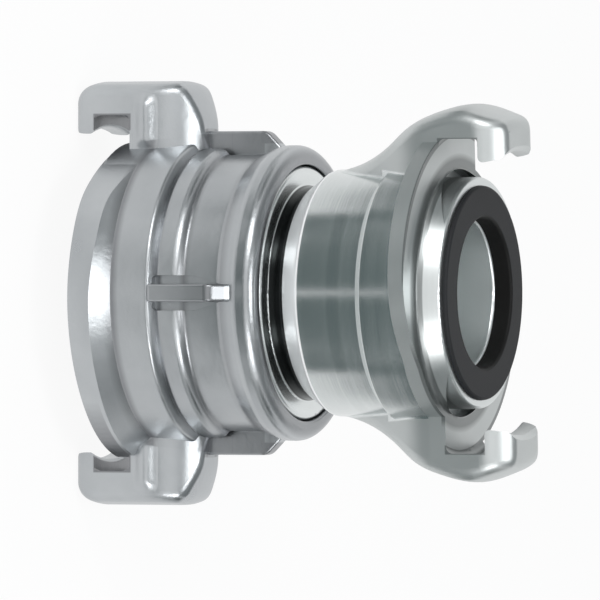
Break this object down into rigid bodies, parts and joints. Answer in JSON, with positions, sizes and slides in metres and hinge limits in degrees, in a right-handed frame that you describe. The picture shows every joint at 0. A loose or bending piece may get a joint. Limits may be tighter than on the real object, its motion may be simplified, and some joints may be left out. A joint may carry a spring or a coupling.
{
  "type": "quarter turn fire hose coupling adapter",
  "caption": "Two-ended aluminium fire hose adapter: a swivelling clamp ring with spiral ledges and hooked claws, and a smaller fixed claw head, each with a rubber face seal.",
  "frame": {"origin": "on the waterway axis, at the level of the two large claw noses that the part stands on", "axes": "+Z along the waterway from the large head to the small head, X through the large claws"},
  "size_m": [0.1268, 0.1, 0.1385],
  "materials": {
    "cast_ring": "sand-cast and tumbled, satin",
    "turned_body": "cast claws, turned and polished barrel",
    "bush": "turned",
    "gasket_rubber": "matt moulded",
    "spring_wire": "drawn wire"
  },
  "bodies": {
    "adapter_body": {"reducer_body": "turned_body", "union_bush": "bush", "large_gasket": "gasket_rubber", "small_gasket": "gasket_rubber", "thread_washer": "gasket_rubber", "retaining_wire": "spring_wire"},
    "clamp_ring": {"claw_ring": "cast_ring"}
  },
  "joints": [
    {"name": "ring_swivel", "type": "hinge", "parent": "adapter_body", "child": "clamp_ring", "pos_m": [0, 0, 0.025], "axis": [0, 0, 1], "continuous": true}
  ]
}
